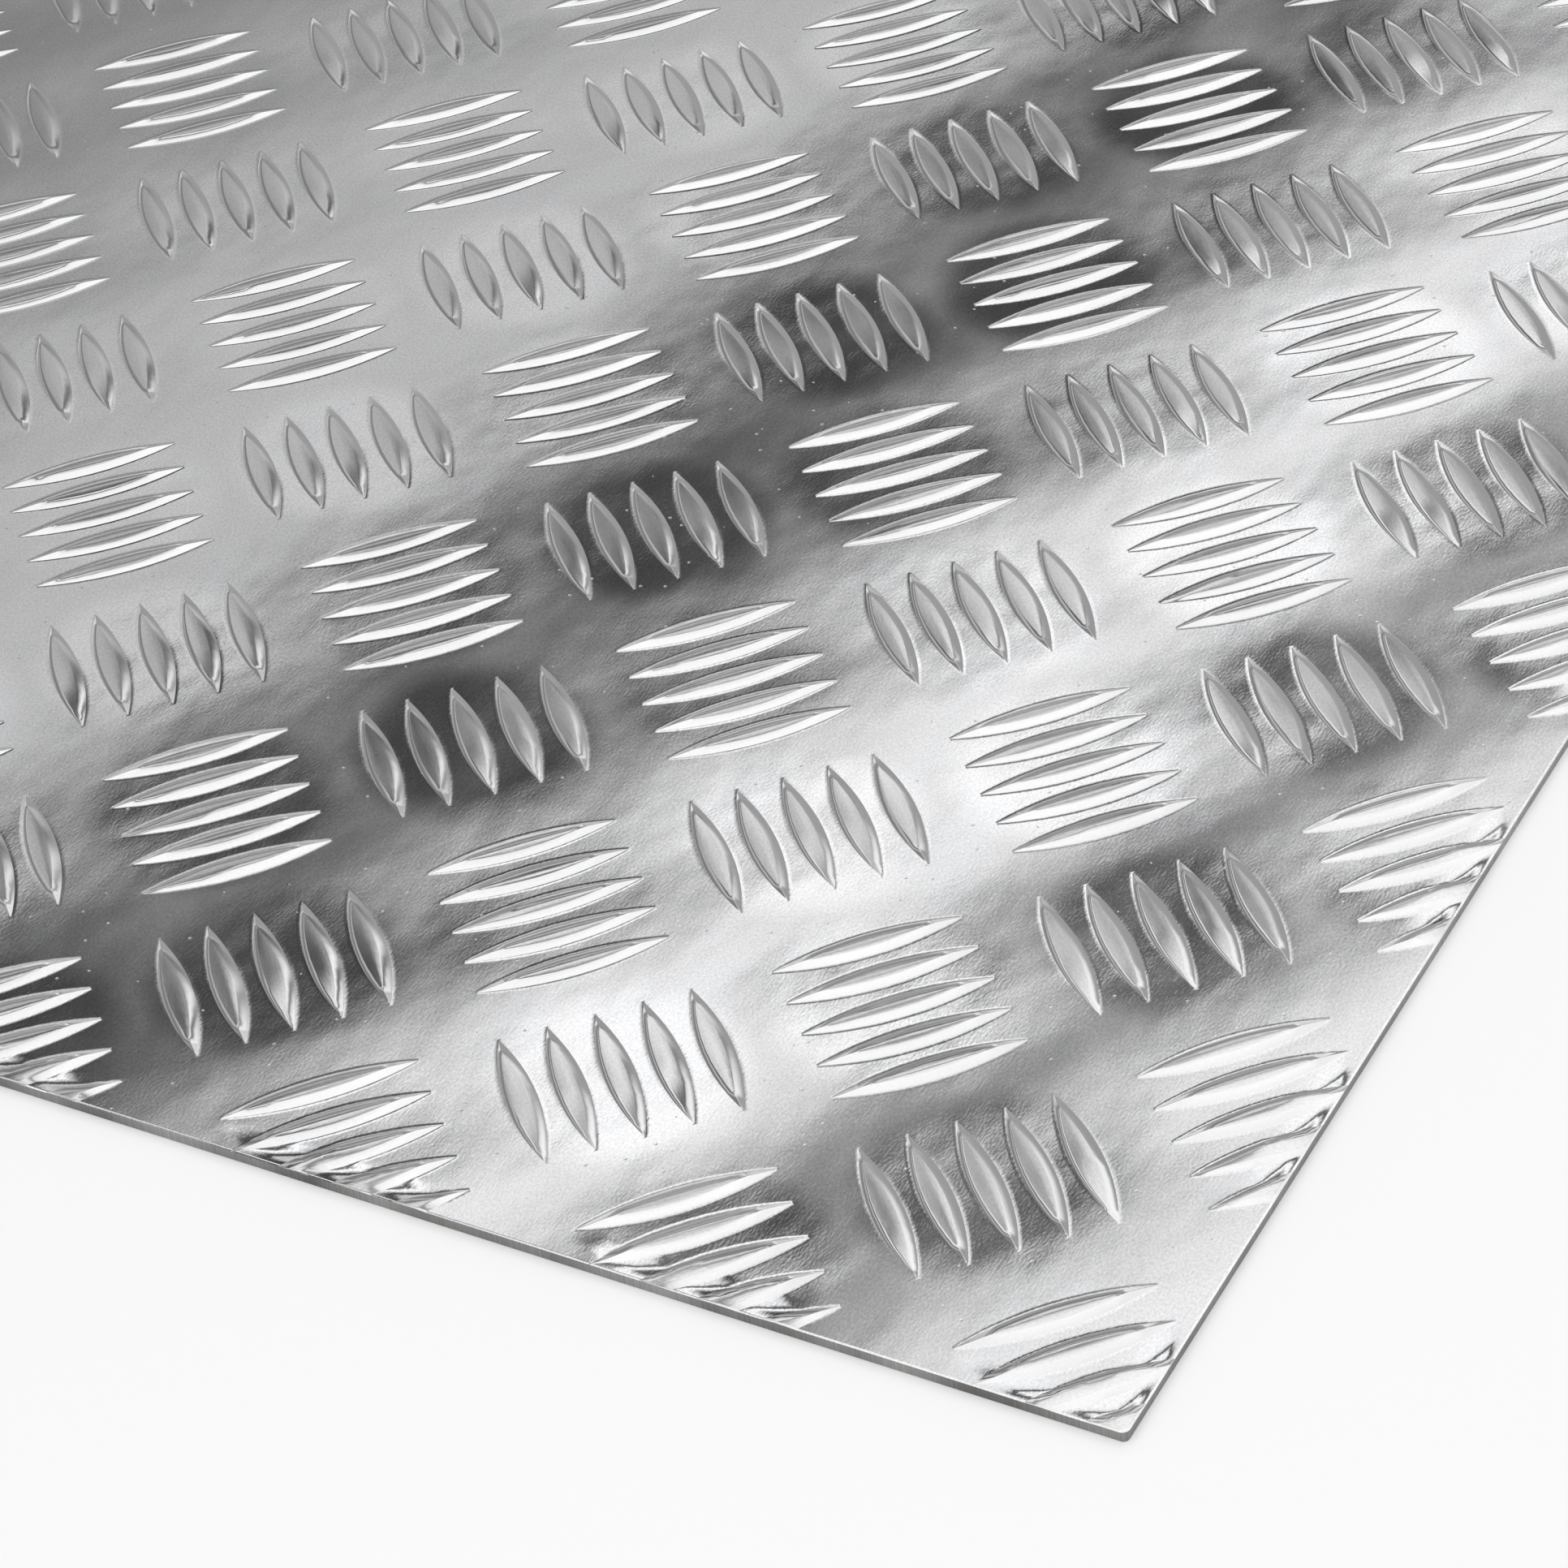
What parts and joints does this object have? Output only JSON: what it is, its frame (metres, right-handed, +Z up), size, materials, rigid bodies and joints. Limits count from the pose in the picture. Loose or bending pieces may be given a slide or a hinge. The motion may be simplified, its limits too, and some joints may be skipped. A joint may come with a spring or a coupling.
{
  "type": "aluminum tread plate",
  "caption": "Flat rolled aluminium sheet with groups of low pointed tread bars raised on its top, each group turned square to the next.",
  "frame": {"origin": "middle of the flat underside, on the surface that the sheet lies on", "axes": "+Z up out of the tread side; +X and +Y along the sheared edges, with the pictured corner at the lowest X and Y"},
  "size_m": [0.3, 0.3, 0.002],
  "materials": {
    "aluminium": "bright mill finish with a fine rolled grain, polished on the bars"
  },
  "bodies": {
    "root": {"tread_plate": "aluminium"}
  },
  "joints": []
}
